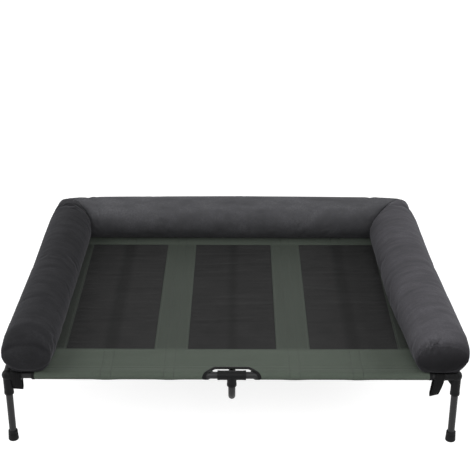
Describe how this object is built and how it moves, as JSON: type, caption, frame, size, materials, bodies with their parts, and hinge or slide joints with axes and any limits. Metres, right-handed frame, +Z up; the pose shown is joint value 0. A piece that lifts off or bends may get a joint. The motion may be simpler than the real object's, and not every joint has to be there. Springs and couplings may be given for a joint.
{
  "type": "raised dog cot",
  "caption": "Raised dog cot: dark tube frame on capped legs, green sling with mesh windows, and a plush bolster round the back and both sides.",
  "frame": {"origin": "on the floor under the middle of the cot", "axes": "+X along the length to the right, +Y to the bolstered back, +Z up; the open front faces -Y"},
  "size_m": [1.22, 0.9496, 0.3473],
  "materials": {
    "rail_tube": "dark grey powder coat, satin",
    "leg_tube": "dark grey powder coat, satin",
    "moulding": "black moulded plastic, fine grain",
    "foot": "black rubber, matt",
    "sling_cloth": "grey green woven canvas",
    "mesh": "black open mesh",
    "binding": "black woven tape",
    "webbing": "black ribbed webbing",
    "plush": "charcoal short plush",
    "fibre": "white fibre fill"
  },
  "bodies": {
    "cot": {"rail_front_left": "rail_tube", "rail_front_right": "rail_tube", "rail_back_left": "rail_tube", "rail_back_right": "rail_tube", "side_rail_left": "rail_tube", "side_rail_right": "rail_tube", "centre_brace": "leg_tube", "corner_bracket_front_left": "moulding", "corner_bracket_front_right": "moulding", "corner_bracket_back_left": "moulding", "corner_bracket_back_right": "moulding", "tee_front": "moulding", "tee_back": "moulding", "sling_border": "sling_cloth", "hem_front_left": "sling_cloth", "hem_front_right": "sling_cloth", "hem_back_left": "sling_cloth", "hem_back_right": "sling_cloth", "side_hem_left": "sling_cloth", "side_hem_right": "sling_cloth", "mesh_left": "mesh", "mesh_centre": "mesh", "mesh_right": "mesh", "edge_binding": "binding", "webbing_far_left": "webbing", "webbing_near_left": "webbing", "webbing_near_right": "webbing", "webbing_far_right": "webbing", "bolster_strap_front_left": "webbing", "bolster_strap_front_right": "webbing", "bolster_strap_back_left": "webbing", "bolster_strap_back_right": "webbing", "bolster_cover_left": "plush", "bolster_cover_back": "plush", "bolster_cover_right": "plush", "bolster_fill_left": "fibre", "bolster_fill_back": "fibre", "bolster_fill_right": "fibre"},
    "front_left_leg": {"leg_front_left": "leg_tube", "foot_front_left": "foot"},
    "front_right_leg": {"leg_front_right": "leg_tube", "foot_front_right": "foot"},
    "back_left_leg": {"leg_back_left": "leg_tube", "foot_back_left": "foot"},
    "back_right_leg": {"leg_back_right": "leg_tube", "foot_back_right": "foot"}
  },
  "joints": [
    {"name": "front_left_leg_pull", "type": "slide", "parent": "cot", "child": "front_left_leg", "axis": [0, 0, -1], "range_m": [0, 0.06]},
    {"name": "front_right_leg_pull", "type": "slide", "parent": "cot", "child": "front_right_leg", "axis": [0, 0, -1], "range_m": [0, 0.06]},
    {"name": "back_left_leg_pull", "type": "slide", "parent": "cot", "child": "back_left_leg", "axis": [0, 0, -1], "range_m": [0, 0.06]},
    {"name": "back_right_leg_pull", "type": "slide", "parent": "cot", "child": "back_right_leg", "axis": [0, 0, -1], "range_m": [0, 0.06]}
  ]
}
